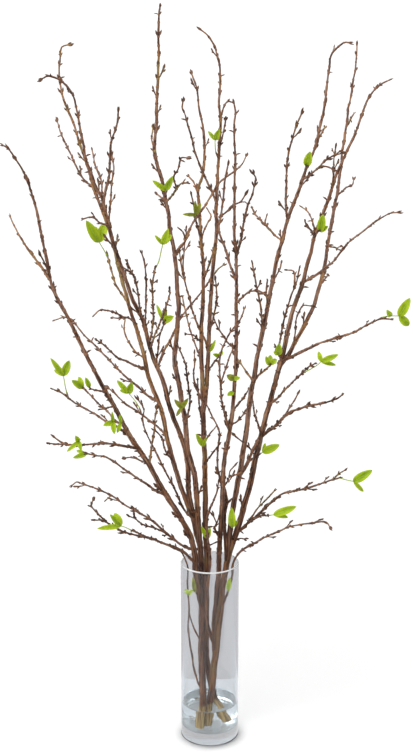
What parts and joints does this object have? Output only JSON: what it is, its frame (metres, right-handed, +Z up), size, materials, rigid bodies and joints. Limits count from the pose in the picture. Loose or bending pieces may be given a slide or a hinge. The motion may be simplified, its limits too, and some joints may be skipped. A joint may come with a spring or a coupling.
{
  "type": "branches in vase",
  "caption": "Tall budding woody branches with small green leaf sprigs, standing in a clear glass cylinder vase with a little water.",
  "frame": {"origin": "middle of the vase's flat foot, on the surface that it stands on", "axes": "+Z up along the vase's axis, +X to the right and -Y to the front, as the picture shows it"},
  "size_m": [0.6281, 0.5234, 1.2493],
  "materials": {
    "glass": "clear polished soda-lime glass",
    "water": "clear still water",
    "bark": "thin matt bark, grey-brown to red-brown",
    "leaf": "soft young leaf, satin, yellow-green"
  },
  "bodies": {
    "root": {"vase": "glass", "water": "water", "left_branch": "bark", "centre_branch": "bark", "right_branch": "bark", "leaf_sprig_01": "leaf", "leaf_sprig_02": "leaf", "leaf_sprig_03": "leaf", "leaf_sprig_04": "leaf", "leaf_sprig_05": "leaf", "leaf_sprig_06": "leaf", "leaf_sprig_07": "leaf", "leaf_sprig_08": "leaf", "leaf_sprig_09": "leaf", "leaf_sprig_10": "leaf", "leaf_sprig_11": "leaf", "leaf_sprig_12": "leaf", "leaf_sprig_13": "leaf", "leaf_sprig_14": "leaf", "leaf_sprig_15": "leaf", "leaf_sprig_16": "leaf", "leaf_sprig_17": "leaf", "leaf_sprig_18": "leaf", "leaf_sprig_19": "leaf", "leaf_sprig_20": "leaf", "leaf_sprig_21": "leaf", "leaf_sprig_22": "leaf", "leaf_sprig_23": "leaf", "leaf_sprig_24": "leaf", "leaf_sprig_25": "leaf", "leaf_sprig_26": "leaf", "leaf_sprig_27": "leaf", "leaf_sprig_28": "leaf", "leaf_sprig_29": "leaf", "leaf_sprig_30": "leaf", "leaf_sprig_31": "leaf", "leaf_sprig_32": "leaf", "leaf_sprig_33": "leaf", "leaf_sprig_34": "leaf", "leaf_sprig_35": "leaf"}
  },
  "joints": []
}
